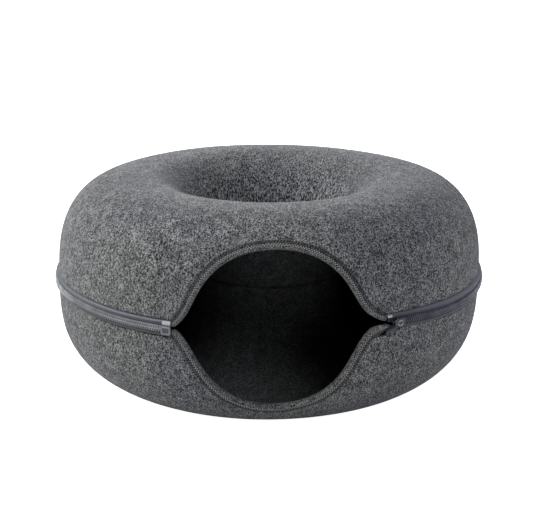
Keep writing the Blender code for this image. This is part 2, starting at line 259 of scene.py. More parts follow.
def mottled(tree, factor, colour, dim, bright, low=0.35, high=0.65):
    """A colour that goes from dim to bright times itself as the factor goes from low to high."""
    darker, lighter = (tuple(min(c * share, 1.0) for c in colour) for share in (dim, bright))
    return ramp(tree, factor, (low, darker), (high, lighter))


def maths(tree, operation, a, b=0.0, c=0.0, clamp=False):
    made = tree_node(
        tree, "ShaderNodeMath", {0: a, 1: b, 2: c}, operation=operation, use_clamp=clamp
    )
    return made.outputs[0]


def noise_field(tree, where, scale, detail=2.0, roughness=0.5, distortion=0.0):
    """Noise with a number of grains to the metre."""
    inputs = {"Vector": where, "Scale": scale, "Detail": detail, "Roughness": roughness}
    made = tree_node(tree, "ShaderNodeTexNoise", inputs)
    made.inputs["Distortion"].default_value = distortion
    return made.outputs["Fac"]


def moved(tree, where, **settings):
    """A place on the object, mapped by a location, rotation or scale."""
    inputs = {name.title(): value for name, value in settings.items()}
    return tree_node(tree, "ShaderNodeMapping", {"Vector": where, **inputs}).outputs["Vector"]


def parts_of(tree, vector):
    return tree_node(tree, "ShaderNodeSeparateXYZ", {0: vector}).outputs


def stacked(tree, *parts):
    return tree_node(tree, "ShaderNodeCombineXYZ", dict(enumerate(parts))).outputs[0]


def fibres(tree, lays, fineness, share):
    """Single fibres, each roughly along one of a few directions: 1 on a fibre and 0 off it."""
    found = 0.0
    for where, turn in lays:
        inputs = {"Vector": where, "Rotation": turn, "Scale": (1.0, 1.0, 5.0)}
        laid = tree_node(tree, "ShaderNodeMapping", inputs, vector_type="TEXTURE").outputs[0]
        streaks = noise_field(tree, laid, fineness, 2.0, 0.6, 0.7)
        some = maths(tree, "MULTIPLY_ADD", streaks, 9.0, -9.0 * (1 - share), clamp=True)
        found = maths(tree, "MAXIMUM", found, some)
    return found


def blend_colours(tree, factor, a, b, how="MIX"):
    inputs = {0: factor, 6: a, 7: b}
    made = tree_node(tree, "ShaderNodeMix", inputs, data_type="RGBA", blend_type=how)
    return made.outputs[2]


def shaded(tree, colour, shade):
    """A colour multiplied by a shade."""
    return blend_colours(tree, 1.0, colour, shade, "MULTIPLY")


CLUMPS = 530.0  # to the metre, as for the next ones
GRAINS = 760.0
DRAWN_OUTSIDE = 520.0
DRAWN_IN_WELL = 560.0
PALE_FIBRES = (330.0, 0.375)  # and the share of the felt that they cover
DEEP_FIBRES = (300.0, 0.385)
CLOUDS = 62.0
DRIFTS = 7.0
DRAWN_BEARING = 0.26  # how much finer the drawn fibres are round the ring
DRAWN_ROUND = 0.042  # and along it
WELL_FADE = (0.155, 0.112)  # radii between which the outside's fibres turn into the well's
STREAKS_OUTSIDE = 0.22  # how much of the specks are drawn fibres
STREAKS_IN_WELL = 0.46  # and how much more there are in the well


def drawn_fibres(tree, where):
    """The mould has drawn the fibres along the way that the felt was pulled: from the crest down
    the outside, and straight up and down in the well. With it, how far inside the well it is."""
    from_middle = moved(tree, where, location=(-AXIS.x, -AXIS.y, -MIDDLE))
    parts = parts_of(tree, from_middle)
    flat = stacked(tree, parts[0], parts[1])
    from_axis = tree_node(tree, "ShaderNodeVectorMath", {0: flat}, operation="LENGTH").outputs[1]
    bearing = tree_node(tree, "ShaderNodeVectorMath", {0: flat}, operation="NORMALIZE").outputs[0]
    round_tube = maths(tree, "ARCTAN2", parts[2], maths(tree, "SUBTRACT", from_axis, CREST_RADIUS))
    bearings = parts_of(tree, bearing)
    unrolled = stacked(tree, bearings[0], bearings[1], round_tube)
    drawn_down = moved(tree, unrolled, scale=(DRAWN_BEARING, DRAWN_BEARING, DRAWN_ROUND))
    outside = noise_field(tree, drawn_down, DRAWN_OUTSIDE, 2.0, 0.65, 0.4)
    drawn_up = moved(tree, where, scale=(1.0, 1.0, 0.2))
    inside = noise_field(tree, drawn_up, DRAWN_IN_WELL, 2.0, 0.65, 0.3)
    fade = {"Value": from_axis, "From Min": WELL_FADE[0], "From Max": WELL_FADE[1]}
    in_well = tree_node(tree, "ShaderNodeMapRange", fade).outputs["Result"]
    difference = maths(tree, "SUBTRACT", inside, outside)
    return maths(tree, "MULTIPLY_ADD", difference, in_well, outside), in_well


def heather_felt(name, dark, middle, light, streaked=False):
    """Needled felt of dark and light fibres: fine specks, with single fibres lying over them."""
    made, tree, shader, where = new_finish(name)
    elsewhere = moved(tree, where, location=(0.7, 0.3, 0.9))
    clumps = noise_field(tree, where, CLUMPS, 2.0, 0.65, 0.5)
    grains = noise_field(tree, elsewhere, GRAINS, 1.0, 0.6, 0.4)
    specks = maths(tree, "MULTIPLY_ADD", clumps, 0.5, maths(tree, "MULTIPLY", grains, 0.5))
    if streaked:
        streaks, in_well = drawn_fibres(tree, where)
        share = maths(tree, "MULTIPLY_ADD", in_well, STREAKS_IN_WELL, STREAKS_OUTSIDE)
        difference = maths(tree, "SUBTRACT", streaks, specks)
        specks = maths(tree, "MULTIPLY_ADD", difference, share, specks)
    colour = ramp(tree, specks, (0.438, dark), (0.497, middle), (0.556, light))
    lays = (where, (0.5, 0.3, 0.2)), (elsewhere, (1.7, 0.4, 1.1)), (elsewhere, (0.9, 1.5, 2.3))
    pale = fibres(tree, lays, *PALE_FIBRES)
    lays = (where, (2.4, 0.8, 0.3)), (elsewhere, (0.2, 1.1, 1.4))
    deep = fibres(tree, lays, *DEEP_FIBRES)
    colour = blend_colours(tree, maths(tree, "MULTIPLY", deep, 0.70), colour, (*dark, 1.0))
    colour = blend_colours(tree, maths(tree, "MULTIPLY", pale, 0.56), colour, (*light, 1.0))
    clouds = noise_field(tree, elsewhere, CLOUDS, 3.0, 0.65)
    clouding = ramp(tree, clouds, (0.3, (0.72, 0.72, 0.73)), (0.7, (1.28, 1.28, 1.27)))
    drifts = noise_field(tree, where, DRIFTS, 1.0)
    tinting = ramp(tree, drifts, (0.35, (0.90, 0.91, 0.95)), (0.65, (1.08, 1.08, 1.05)))
    colour = shaded(tree, shaded(tree, colour, clouding), tinting)
    relief = maths(tree, "MULTIPLY_ADD", pale, 0.35, specks)
    relief = maths(tree, "MULTIPLY_ADD", clouds, 0.8, relief)
    cover(tree, colour, relief, strength=0.6, distance=0.0007)
    shader.inputs["Roughness"].default_value = 0.95
    shader.inputs["Specular IOR Level"].default_value = 0.15
    shader.inputs["Sheen Weight"].default_value = 0.15
    shader.inputs["Sheen Roughness"].default_value = 0.5
    return made


# The entrance, unrolled on the felt: a round arch that flares into a pointed corner.
# Columns: half, side, middle across, half width, half height, roundness, flare, flare reach.
ENTRANCE = (
    ("upper", -1, 0.0000, 0.1065, 0.1066, 2.0, 0.0230, 0.015),
    ("upper", 1, 0.0000, 0.1065, 0.1066, 2.0, 0.0500, 0.014),
    ("lower", -1, -0.0057, 0.0980, 0.1064, 1.8, 0.0250, 0.020),
    ("lower", 1, -0.0057, 0.1060, 0.1064, 2.0, 0.0246, 0.0195),
)
ARCH_POINTS = 60
FLARE_FADE = 8
CORNER_HEIGHT = 0.0050
CUT_SETBACK = 0.0028  # the felt stops this far short of the bound edge
CUT_REACH = 0.025
CUT_LEVELS = (0.0015, -0.0060)
SLOPE_STEP = 0.0005
FOOT_PRESSED = 0.0012  # how far the cave's weight has pressed the foot flat
UPPER_ROUND, LOWER_ROUND = 2.80, 3.21  # roundness of the section at the crest and at the foot

rise, fall = HEIGHT - MIDDLE, -MIDDLE - FOOT_PRESSED
upper_outer = section_curve(CREST_RADIUS, FELT_RADIUS, rise, 2.48, UPPER_ROUND)
upper_well = section_curve(CREST_RADIUS, WELL_RADIUS, rise, 2.68, UPPER_ROUND)
lower_outer = section_curve(FOOT_RADIUS, FELT_RADIUS, fall, 1.57, LOWER_ROUND)
lower_well = section_curve(FOOT_RADIUS, WELL_RADIUS, fall, 1.90, LOWER_ROUND)
wall_runs = {
    half: (wall, lengths(wall)) for half, wall in (("upper", upper_outer), ("lower", lower_outer))
}


def on_felt(across, up, lift=0.0):
    """The point of the outer wall at a distance across and up from the entrance's middle,
    lifted off the felt."""
    points, run = wall_runs["upper" if up >= 0 else "lower"]
    radius, height = at_length(points, run, abs(up))
    further, higher = at_length(points, run, abs(up) + SLOPE_STEP)
    upward = 1 if up >= 0 else -1
    slope_out, slope_up = (further - radius) * upward, (higher - height) * upward
    steep = math.hypot(slope_out, slope_up)
    lifted = radius + lift * slope_up / steep
    return around(lifted, across / radius, height - lift * slope_out / steep)


def entrance_quarter(half, side):
    """One quarter of the entrance's edge (across, up), from its corner to the arch's middle."""
    row = next(r for r in ENTRANCE if r[:2] == (half, side))
    middle, width, height, power, flare, reach = row[2:]
    upward = 1 if half == "upper" else -1
    start = math.asin((CORNER_HEIGHT / height) ** (power / 2))
    points = []
    for i in range(ARCH_POINTS + 1):
        turn = start + (0.5 * math.pi - start) * i / ARCH_POINTS
        up = height * math.sin(turn) ** (2 / power)
        arch = width * max(math.cos(turn), 0.0) ** (2 / power)
        corner = flare * math.exp(-up / reach) * (1 - (up / height) ** FLARE_FADE)
        points.append((middle + side * (arch + corner), up * upward))
    return points


def entrance_edge(half):
    """The edge of one half's arch, from the left corner to the right corner, with the direction
    that leads away from the opening at each point."""
    edge = [Vector(p) for p in entrance_quarter(half, -1) + entrance_quarter(half, 1)[-2::-1]]
    upward = 1 if half == "upper" else -1
    return edge, [Vector((-along.y, along.x)) * upward for along in slopes_of(edge)]


def entrance_cutter():
    """A thick patch of the wall, with sides square to the felt, in the entrance's outline."""
    bm = bmesh.new()
    ring = []
    for half in ("upper", "lower"):
        cut = [p + n * CUT_SETBACK for p, n in zip(*entrance_edge(half))]
        ring += cut if half == "upper" else cut[::-1]
    outline = bm.faces.new([bm.verts.new((*p, CUT_REACH)) for p in ring])
    deep = bmesh.ops.extrude_face_region(bm, geom=[outline])["geom"]
    deep_verts = [v for v in deep if isinstance(v, bmesh.types.BMVert)]
    bmesh.ops.translate(bm, verts=deep_verts, vec=(0.0, 0.0, -2 * CUT_REACH))
    for level in CUT_LEVELS:
        whole = bm.verts[:] + bm.edges[:] + bm.faces[:]
        bmesh.ops.bisect_plane(bm, geom=whole, plane_co=(0, 0, level), plane_no=(0, 0, 1))
    bmesh.ops.poke(bm, faces=[f for f in bm.faces if len(f.verts) > 4])
    for vert in bm.verts:
        vert.co = on_felt(*vert.co)
    bmesh.ops.recalc_face_normals(bm, faces=bm.faces)
    return bm


def zip_rise(degrees):
    """How far the zip has climbed at an angle from the entrance."""
    away = (degrees + 180) % 360 - 180 - ZIP_RISE_ANGLE
    return ZIP_RISE * math.exp(-((away / ZIP_RISE_REACH) ** 2))


def upper_edge_shift(degrees):
    """How far the upper felt's edge is above its moulded place, and how far out."""
    left = FRONT_DROP - math.sin(math.radians(degrees))
    return zip_rise(degrees) * FELT_RISE - UPPER_DROP * left, 0.0


def cut_out_entrance(bm):
    """The felt sheet with the entrance cut out of it."""
    blank, cutter = new_object("felt_blank", bm), new_object("arch", entrance_cutter())
    cut = blank.modifiers.new("entrance", "BOOLEAN")
    cut.operation = "DIFFERENCE"
    cut.object = cutter
    graph = bpy.context.evaluated_depsgraph_get()
    made = bmesh.new()
    made.from_object(blank, graph)
    for done in (blank, cutter):
        bpy.data.objects.remove(done)
    return made


def felt_half(name, face, edge, edge_shift):
    """One moulded half: the section turned round the ring, the entrance cut out, the edge drawn
    along the zip, and the felt's own small lumps."""
    bm = cut_out_entrance(ring_of(felt_section(face)))
    for vert in bm.verts:
        near = 1 - abs(vert.co.z - MIDDLE - edge) / EDGE_REACH
        if near > 0 and vert.co.xy.length > CREST_RADIUS:
            rise, out = edge_shift(math.degrees(math.atan2(vert.co.x, -vert.co.y)))
            vert.co.z += rise * near * near
            vert.co += Vector((*vert.co.xy.normalized(), 0.0)) * out * near * near
    bm.normal_update()
    lumps = {v: noise.noise(v.co / LUMP_SIZE) * LUMP for v in bm.verts}
    for vert, lump in lumps.items():
        if vert.co.z > LUMP_SIZE:
            vert.co += vert.normal * lump
    settle(bm)
    piece = add_piece(name, bm, felt)
    piece.data.set_sharp_from_angle(angle=math.radians(SHARP_EDGE))
    # The faces inside the cave take the darker copy of the felt: painted shade.
    piece.data.materials.append(inner_felt_painted_shade)
    for face in piece.data.polygons:
        out = face.center - AXIS
        middle = Vector((*out.xy.normalized() * CREST_RADIUS, MIDDLE))
        face.material_index = int((out - middle).normalized().dot(face.normal) < OUTER_FACING)
    return piece


felt = heather_felt(
    "heather felt", (0.015, 0.0155, 0.017), (0.106, 0.108, 0.113), (0.430, 0.435, 0.445), True
)
# The inner face: a darker copy of the felt with fewer loose fibres; its darkness is painted shade
# for the room inside the cave.
inner_felt_painted_shade = heather_felt(
    "inner felt painted shade", (0.045, 0.046, 0.047), (0.092, 0.094, 0.094), (0.190, 0.192, 0.193)
)
upper_zip_end = MIDDLE + UPPER_FELT_EDGE + EDGE_BULGE
upper_seam_end = MIDDLE + SEAM_GAP + EDGE_BULGE
upper_face = (
    evenly(from_height(upper_well, upper_seam_end), WELL_STEPS)
    + evenly([p for p in upper_outer if p[1] >= upper_zip_end], OUTER_STEPS)[-2::-1]
)
upper_felt = felt_half("upper_felt", upper_face, UPPER_FELT_EDGE, upper_edge_shift)
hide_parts("upper_shell")

# ---------------------------------------------
# The lower half: the same felt, pressed over a deeper mould. Its foot is flattened by the cave's
# weight, and its upper edge is sewn to the other side of the zip.

LOWER_FELT_EDGE = -0.0115  # over MIDDLE
LOWER_DROP = 0.0011  # how much lower the edge is at the right
LIP_RISE = 0.0082  # the felt swells over the lower tape beside the slider
LIP_OUT = 0.0036
LIP_ANGLES = (28.5, 31.5)
LIP_REACH = 12.0
FOOT_STEPS = 3


def eased(share):
    return share * share * (3 - 2 * share)


def lip(degrees):
    """How much of the swelling beside the slider there is at an angle."""
    degrees = (degrees + 180) % 360 - 180
    low, high = LIP_ANGLES
    if degrees > high:
        return math.exp(-(((degrees - high) / LIP_REACH) ** 2))
    return eased(max((degrees - low) / (high - low), 0.0))


def lower_edge_shift(degrees):
    sunk = LOWER_DROP * (1 + math.sin(math.radians(degrees)))
    return LIP_RISE * lip(degrees) - sunk, LIP_OUT * lip(degrees)


lower_zip_end = MIDDLE + LOWER_FELT_EDGE - EDGE_BULGE
lower_seam_end = MIDDLE - SEAM_GAP - EDGE_BULGE
down_outside = [p for p in lower_outer if 0.0 <= p[1] <= lower_zip_end]
up_well = [p for p in from_height(lower_well, lower_seam_end) if p[1] >= 0.0]
foot = [(down_outside[-1][0], 0.0), (up_well[-1][0], 0.0)]
lower_face = (
    evenly(down_outside + foot[:1], OUTER_STEPS)
    + evenly(foot, FOOT_STEPS)[1:-1]
    + evenly(up_well + foot[1:], WELL_STEPS)[::-1]
)
lower_felt = felt_half("lower_felt", lower_face, LOWER_FELT_EDGE, lower_edge_shift)
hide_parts("lower_shell")

# ---------------------------------------------
# The well's seam: the two halves meet edge to edge half way down the well and are sewn together
# with a slanting overcast thread, which shows in the groove on both sides of the felt.

# Columns: side of the felt, radius, way that it faces, stitches, half the thread's thickness.
SEAM_SIDES = (
    ("well", WELL_RADIUS, -1, 150, 0.0004),
    ("room", WELL_RADIUS + FELT, 1, 320, 0.0006),
)
SEAM_REACH = 0.0026  # how far a stitch reaches to each side
SEAM_SLANT = 0.0010
THREAD_LIFT = 0.0001


def stitch(bm, start, end, outwards, half_thickness):
    """A short bowed thread from start to end."""
    along = end - start
    across = outwards.cross(along).normalized()
    lift = along.normalized().cross(across).normalized()
    if lift.dot(outwards) < 0:
        lift.negate()
    turn = Matrix((across, along.normalized(), lift)).transposed().to_4x4()
    made = bmesh.ops.create_uvsphere(bm, u_segments=6, v_segments=4, radius=1.0)["verts"]
    size = Matrix.Diagonal((half_thickness, half_thickness, along.length / 2, 1.0))
    lying = Matrix.Rotation(-0.5 * math.pi, 4, "X")
    there = Matrix.Translation((start + end) / 2)
    bmesh.ops.transform(bm, matrix=there @ turn @ lying @ size, verts=made)


def thread_finish(name, colour):
    """Spun polyester thread: fine slanting ply on a matt grey."""
    made, tree, shader, where = new_finish(name)
    ply = noise_field(tree, where, 1600.0, 2.0, 0.6)
    cover(tree, mottled(tree, ply, colour, 0.65, 1.3), ply, strength=0.5, distance=0.0003)
    shader.inputs["Roughness"].default_value = 0.7
    shader.inputs["Sheen Weight"].default_value = 0.2
    return made


# The seam thread is drawn nearly black: painted shade, for the shadow in the seam's groove.
seam_thread_painted_shade = thread_finish("seam thread painted shade", (0.016, 0.016, 0.017))
for side, radius, facing, stitches, thick in SEAM_SIDES:
    bm = bmesh.new()
    for i in range(stitches):
        angle = 2 * math.pi * i / stitches
        lean = SEAM_SLANT / radius
        lifted = radius + facing * THREAD_LIFT
        start = around(lifted, angle - lean, MIDDLE - SEAM_REACH)
        end = around(lifted, angle + lean, MIDDLE + SEAM_REACH)
        stitch(bm, start, end, around(facing, angle, 0.0), thick)
    settle(bm)
    add_piece("seam_thread_painted_shade_" + side, bm, seam_thread_painted_shade)

# ---------------------------------------------
# The bindings: a darker felt strip, folded round the cut edge of each half of the entrance and
# sewn through with two rows of machine stitches.

BINDING = 0.0012
BINDING_FACE = 0.0112  # width on the outside
BINDING_BACK = 0.0085  # width on the inside
# The strip's tips run on past the arch and close its corners, up to the zip's fittings.
# Columns for each point, from the tip inwards: edge across and up, outer border across and up.
TIPS = {
    ("upper", -1): (
        (-0.1294, 0.0012, -0.1312, 0.0075),
        (-0.1262, 0.0016, -0.1312, 0.0105),
    ),
    ("upper", 1): (),
    ("lower", -1): (
        (-0.1296, -0.0027, -0.1313, -0.0075),
        (-0.1262, -0.0033, -0.1313, -0.0102),
    ),
    ("lower", 1): (
        (0.1480, -0.0010, 0.1490, -0.0030),
        (0.1400, -0.0003, 0.1420, -0.0062),
        (0.1320, -0.0003, 0.1350, -0.0100),
        (0.1248, -0.0013, 0.1312, -0.0140),
    ),
}
TIP_SMOOTHING = 12  # rounds
FACE_LIFT = 0.0009
BACK_LIFT = -0.0062
ROLL = 0.0030  # how far the fold's round reaches over the felt
ROLL_TOP = 0.0006
ROLL_ROUND = 0.75  # below 1 is flatter in the middle of the fold
PUFF = 0.0005  # how far the face swells between its borders
BORDER_SINK = 0.0003  # how far its outer border sinks
FACE_SHARE = 0.45  # of the section's columns, from the border to the fold
BACK_SHARE = 0.70  # where the fold ends and the back begins
BINDING_COLUMNS = 29
BINDING_ROWS = 440
STITCH_ROWS = (0.0036, 0.0052)  # from the bound edge, each half a stitch further on
STITCH_PITCH = 0.0033
FIRST_STITCH = 0.75  # pitches from the strip's end
STITCH_LENGTH = 0.0016
STITCH_THREAD = 0.00066
# The needle's holes are drawn as dark marks: painted shade.
HOLE_LENGTH = 0.0013  # the needle's holes between the stitches
HOLE = 0.00060
PUCKER = 0.0004  # how deep the stitches pull the strip down
PUCKER_WIDTH = 0.0009


def binding_line(share):
    """One point of the folded strip's section (distance from the edge, lift off the felt)."""
    if share < FACE_SHARE:
        t = share / FACE_SHARE
        away = BINDING_FACE + (ROLL - BINDING_FACE) * t
        return away, FACE_LIFT + PUFF * math.sin(math.pi * t) - BORDER_SINK * (1 - t) ** 3
    if share > BACK_SHARE:
        t = (share - BACK_SHARE) / (1 - BACK_SHARE)
        return ROLL + (BINDING_BACK - ROLL) * t, BACK_LIFT
    turn = math.pi * (share - FACE_SHARE) / (BACK_SHARE - FACE_SHARE)
    return (
        ROLL - (ROLL - ROLL_TOP) * math.sin(turn) ** ROLL_ROUND,
        (FACE_LIFT + BACK_LIFT) / 2 + (FACE_LIFT - BACK_LIFT) / 2 * math.cos(turn),
    )


def binding_path(half):
    """The bound edge in even steps from tip to tip: (across, up, way across the face)."""
    tips = {}
    for side in (-1, 1):
        rows = [Vector(row) for row in TIPS[half, side]]
        tips[side] = [(*row.xy, *(row.zw - row.xy)) for row in rows]
    arch = [(*p, *(n * BINDING_FACE)) for p, n in zip(*entrance_edge(half))]
    rows = tips[-1] + arch + tips[1][::-1]
    run = lengths([row[:2] for row in rows])
    smooth = [Vector(row) for row in evenly(rows, BINDING_ROWS, run)]
    for _ in range(TIP_SMOOTHING):
        middle = [(a + b * 2 + c) / 4 for a, b, c in zip(smooth, smooth[1:], smooth[2:])]
        smooth = smooth[:1] + middle + smooth[-1:]
    return smooth, run[-1]


def grid_piece(along, across, place):
    """A sheet whose grid of points is placed by a function of two shares."""
    bm = bmesh.new()
    bm.loops.layers.uv.new("UVMap")
    bmesh.ops.create_grid(bm, x_segments=along, y_segments=across, size=0.5, calc_uvs=True)
    for vert in bm.verts:
        vert.co = place(vert.co.x + 0.5, vert.co.y + 0.5)
    bmesh.ops.recalc_face_normals(bm, faces=bm.faces)
    return bm


def thicken(piece, thickness, levels=0):
    cloth = piece.modifiers.new("cloth", "SOLIDIFY")
    cloth.thickness = thickness
    cloth.offset = 0.0
    cloth.use_even_offset = True
    if levels:
        smooth = piece.modifiers.new("smooth", "SUBSURF")
        smooth.levels = smooth.render_levels = levels


def laid_flat(tree):
    """The place on a strip as it lies flat: shares of its length and of its width."""
    return tree_node(tree, "ShaderNodeUVMap", uv_map="UVMap").outputs["UV"]


def waves(tree, where, scale, distortion, detail, detail_scale):
    """Even bands across a strip, such as ribs or yarns."""
    inputs = {"Vector": where, "Scale": scale, "Distortion": distortion, "Detail": detail}
    made = tree_node(tree, "ShaderNodeTexWave", inputs, bands_direction="X")
    made.inputs["Detail Scale"].default_value = detail_scale
    return made.outputs["Fac"]


def bound_strip(name, dark, light):
    """Felt strip: cross-ribbed where it lies flat, with painted shade towards its outer border and
    a painted highlight on its round.
    """
    made = heather_felt(name, dark, [(a + b) * 0.36 for a, b in zip(dark, light)], light)
    tree = made.node_tree
    colour = tree.nodes["Principled BSDF"].inputs["Base Color"]
    laid = laid_flat(tree)
    ribs = waves(tree, laid, scale=34.0, distortion=0.6, detail=1.0, detail_scale=30.0)
    ribbing = ramp(tree, ribs, (0.15, (0.50, 0.50, 0.51)), (0.85, grey(1.25)))
    across = parts_of(tree, laid)[1]
    flat = ramp(tree, across, (0.20, grey(1.0)), (0.27, grey(0.0)))
    # Painted shade darkens the face towards its outer border, and a painted highlight lightens the
    # fold.
    shade = ramp(
        tree,
        across,
        (0.00, grey(1.50)),  # the raw outer border
        (0.04, grey(0.70)),
        (0.24, grey(0.80)),
        (0.40, grey(1.00)),
        (0.47, (1.75, 1.74, 1.72)),  # the fold
        (0.60, grey(1.20)),
    )
    plain = shaded(tree, colour.links[0].from_socket, shade)
    tree.links.new(blend_colours(tree, flat, plain, shaded(tree, plain, ribbing)), colour)
    return made


binding_felt = bound_strip("binding felt", (0.020, 0.021, 0.023), (0.210, 0.212, 0.216))
binding_thread = thread_finish("binding thread", (0.680, 0.682, 0.690))
# Dark marks between the stitches: painted shade in the needle's holes.
needle_hole_shade = thread_finish("needle hole shade", (0.012, 0.012, 0.013))
for half in ("upper", "lower"):
    path, path_length = binding_path(half)

    def on_binding(share, away, lift):
        place = min(max(share, 0.0), 1.0) * BINDING_ROWS
        i = min(int(place), BINDING_ROWS - 1)
        row = path[i].lerp(path[i + 1], place - i)
        across, up = row.xy + row.zw * (away / BINDING_FACE)
        return on_felt(across, up, lift)

    def strip(u, v):
        away, lift = binding_line(v)
        if lift > 0:
            dips = (math.exp(-(((away - row) / PUCKER_WIDTH) ** 2)) for row in STITCH_ROWS)
            lift -= sum(PUCKER * dip for dip in dips)
        return on_binding(u, away, lift)

    bm = grid_piece(BINDING_ROWS, BINDING_COLUMNS - 1, strip)
    settle(bm)
    band = add_piece(half + "_entrance_binding", bm, binding_felt)
    thicken(band, BINDING)
    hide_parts(half + "_binding")

    stitch_lift = FACE_LIFT + BINDING / 2 + THREAD_LIFT
    for name, finish, reach, thick, phase in (
        ("_binding_stitches", binding_thread, STITCH_LENGTH, STITCH_THREAD, 0.0),
        ("_binding_needle_marks", needle_hole_shade, HOLE_LENGTH, HOLE, 0.5),
    ):
        bm = bmesh.new()
        for i, row in enumerate(STITCH_ROWS):
            for k in range(int(path_length / STITCH_PITCH) - 1):
                middle = (k + FIRST_STITCH + (0.5 * i + phase) % 1.0) * STITCH_PITCH
                start, end = (
                    on_binding((middle + side * reach / 2) / path_length, row, stitch_lift)
                    for side in (-1, 1)
                )
                above = on_binding(middle / path_length, row, stitch_lift + FELT)
                stitch(bm, start, end, above - (start + end) / 2, thick)
        settle(bm)
        add_piece(half + name, bm, finish)

# ---------------------------------------------
# The zip's tapes: woven polyester, sewn under the felt's edges. Each bulges out over the felt
# and turns in again behind the teeth, where the two tapes meet.

TAPE = 0.0009
TAPE_STEPS = 360
# Columns: radius less FELT_RADIUS, height over MIDDLE, from the sewn edge to the free edge.
UPPER_TAPE = (
    (-0.0062, 0.0190),
    (-0.0060, 0.0120),
    (-0.0052, 0.0096),
    (-0.0030, 0.0088),
    (0.0004, 0.0086),
    (0.0026, 0.0080),
    (0.0036, 0.0068),
    (0.0034, 0.0052),
    (0.0025, 0.0036),
    (0.0021, 0.0022),
    (0.0020, 0.0004),
    (0.0020, -0.0021),
)
LOWER_TAPE = (
    (-0.0065, -0.0210),
    (-0.0060, -0.0150),
    (-0.0055, -0.0118),
    (-0.0030, -0.0110),
    (0.0004, -0.0107),
    (0.0024, -0.0100),
    (0.0031, -0.0090),
    (0.0030, -0.0077),
    (0.0025, -0.0064),
    (0.0021, -0.0046),
    (0.0020, -0.0029),
)
EDGE_SHARES = (1.0, 1.0, 1.0, 1.0, 0.85, 0.45, 0.1)  # how far each column follows the felt's edge
LIP_SINK = 0.0060  # how far the lower tape sinks behind the felt's swelling
RIDGE_WAVE = 0.00022  # how far the sewing has puckered the ridge
RIDGE_WAVE_LENGTH = 0.013
SEWN_POINTS = 5  # held by the felt where the free edges part
END_SPREADS = {"upper": 0.0008, "lower": 0.0052}  # how far the free edges part at the open end
LEFT_TAPE_END = -25.3  # degrees from the entrance
RIGHT_TAPE_ENDS = {"upper": 27.9, "lower": 27.6}
CLOSED_ANGLE = 31.6  # from here on the free edges are held together


def parted(half, degrees):
    """How far up a tape's free edge is at an angle from its closed place."""
    share = (degrees - RIGHT_TAPE_ENDS[half]) / (CLOSED_ANGLE - RIGHT_TAPE_ENDS[half])
    if share >= 1:
        return zip_rise(degrees)
    spread = END_SPREADS[half] * (1 - eased(share))
    return zip_rise(degrees) + (spread if half == "upper" else -spread)


def tape_weave(name, colour, ridge):
    """Ribbed tape: fine slanting yarns across it, with a soft sheen."""
    made, tree, shader, where = new_finish(name)
    flat = laid_flat(tree)
    spread = moved(tree, flat, scale=(1.58, 0.030, 1.0))
    slanted = moved(tree, spread, rotation=(0.0, 0.0, math.radians(28)))
    yarns = waves(tree, slanted, scale=150.0, distortion=1.2, detail=2.0, detail_scale=3.0)
    fluff = noise_field(tree, where, 900.0, 2.0, 0.6)
    mixed = maths(tree, "MULTIPLY_ADD", fluff, 0.6, maths(tree, "MULTIPLY", yarns, 0.4))
    woven = mottled(tree, mixed, colour, 0.62, 1.30, 0.30, 0.70)
    # Painted highlight along the ridge, and painted shade in the groove behind the teeth.
    along, across, _ = parts_of(tree, flat)
    ridge_highlight_and_groove_shade = ramp(
        tree,
        across,
        (0.26, grey(1.00)),
        (0.35, grey(ridge)),
        (0.46, (0.85 * ridge, 0.85 * ridge, 0.84 * ridge)),
        (0.56, grey(0.95)),
        (0.73, (0.70, 0.70, 0.71)),
        (0.78, (0.18, 0.18, 0.19)),
        (0.86, (0.05, 0.05, 0.06)),
    )
    # Painted shade: the cloth is darker and bluer from the slider's end round the right side.
    right_side_shade = ramp(tree, along, (0.02, (0.78, 0.79, 0.86)), (0.32, grey(1.0)))
    relief = maths(tree, "MULTIPLY_ADD", fluff, 0.4, yarns)
    with_painted_light = shaded(tree, shaded(tree, woven, ridge_highlight_and_groove_shade), right_side_shade)
    cover(tree, with_painted_light, relief, strength=0.6, distance=0.0004)
    shader.inputs["Roughness"].default_value = 0.62
    shader.inputs["Sheen Weight"].default_value = 0.35
    shader.inputs["Sheen Roughness"].default_value = 0.4
    return made


# The upper tape's ridge gets a strong painted highlight, the lower tape's a little painted shade.
for half, section, ridge in (("upper", UPPER_TAPE, 2.7), ("lower", LOWER_TAPE, 0.9)):
    first = RIGHT_TAPE_ENDS[half]

    def tape_place(u, v):
        degrees = first + (360 + LEFT_TAPE_END - first) * u
        column = round(v * (len(section) - 1))
        out, up = section[column]
        held = EDGE_SHARES[column] if column < len(EDGE_SHARES) else 0.0
        if half == "upper":
            up += upper_edge_shift(degrees)[0] * held
        else:
            up -= LOWER_DROP * (1 + math.sin(math.radians(degrees))) * held
            out -= LIP_SINK * lip(degrees) * held
        up += parted(half, degrees) * (1 - held)
        if column >= SEWN_POINTS - 1:
            spot = around(FELT_RADIUS, math.radians(degrees), up) / RIDGE_WAVE_LENGTH
            out += RIDGE_WAVE * noise.noise(spot)
        return around(FELT_RADIUS + out, math.radians(degrees), MIDDLE + up)

    bm = grid_piece(TAPE_STEPS, len(section) - 1, tape_place)
    settle(bm)
    tape_cloth = tape_weave(half + " zip tape", (0.112, 0.115, 0.138), ridge)
    tape = add_piece(half + "_tape", bm, tape_cloth)
    thicken(tape, TAPE, 1)
    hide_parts(half + "_zip_tape")
    tape_width = round(lengths(section)[-1], 3)

# ---------------------------------------------
# The coil: two spirals of nylon thread, one sewn to the edge of each tape, whose loops catch in
# each other. The closed pair runs round the back from the slider to the clip.

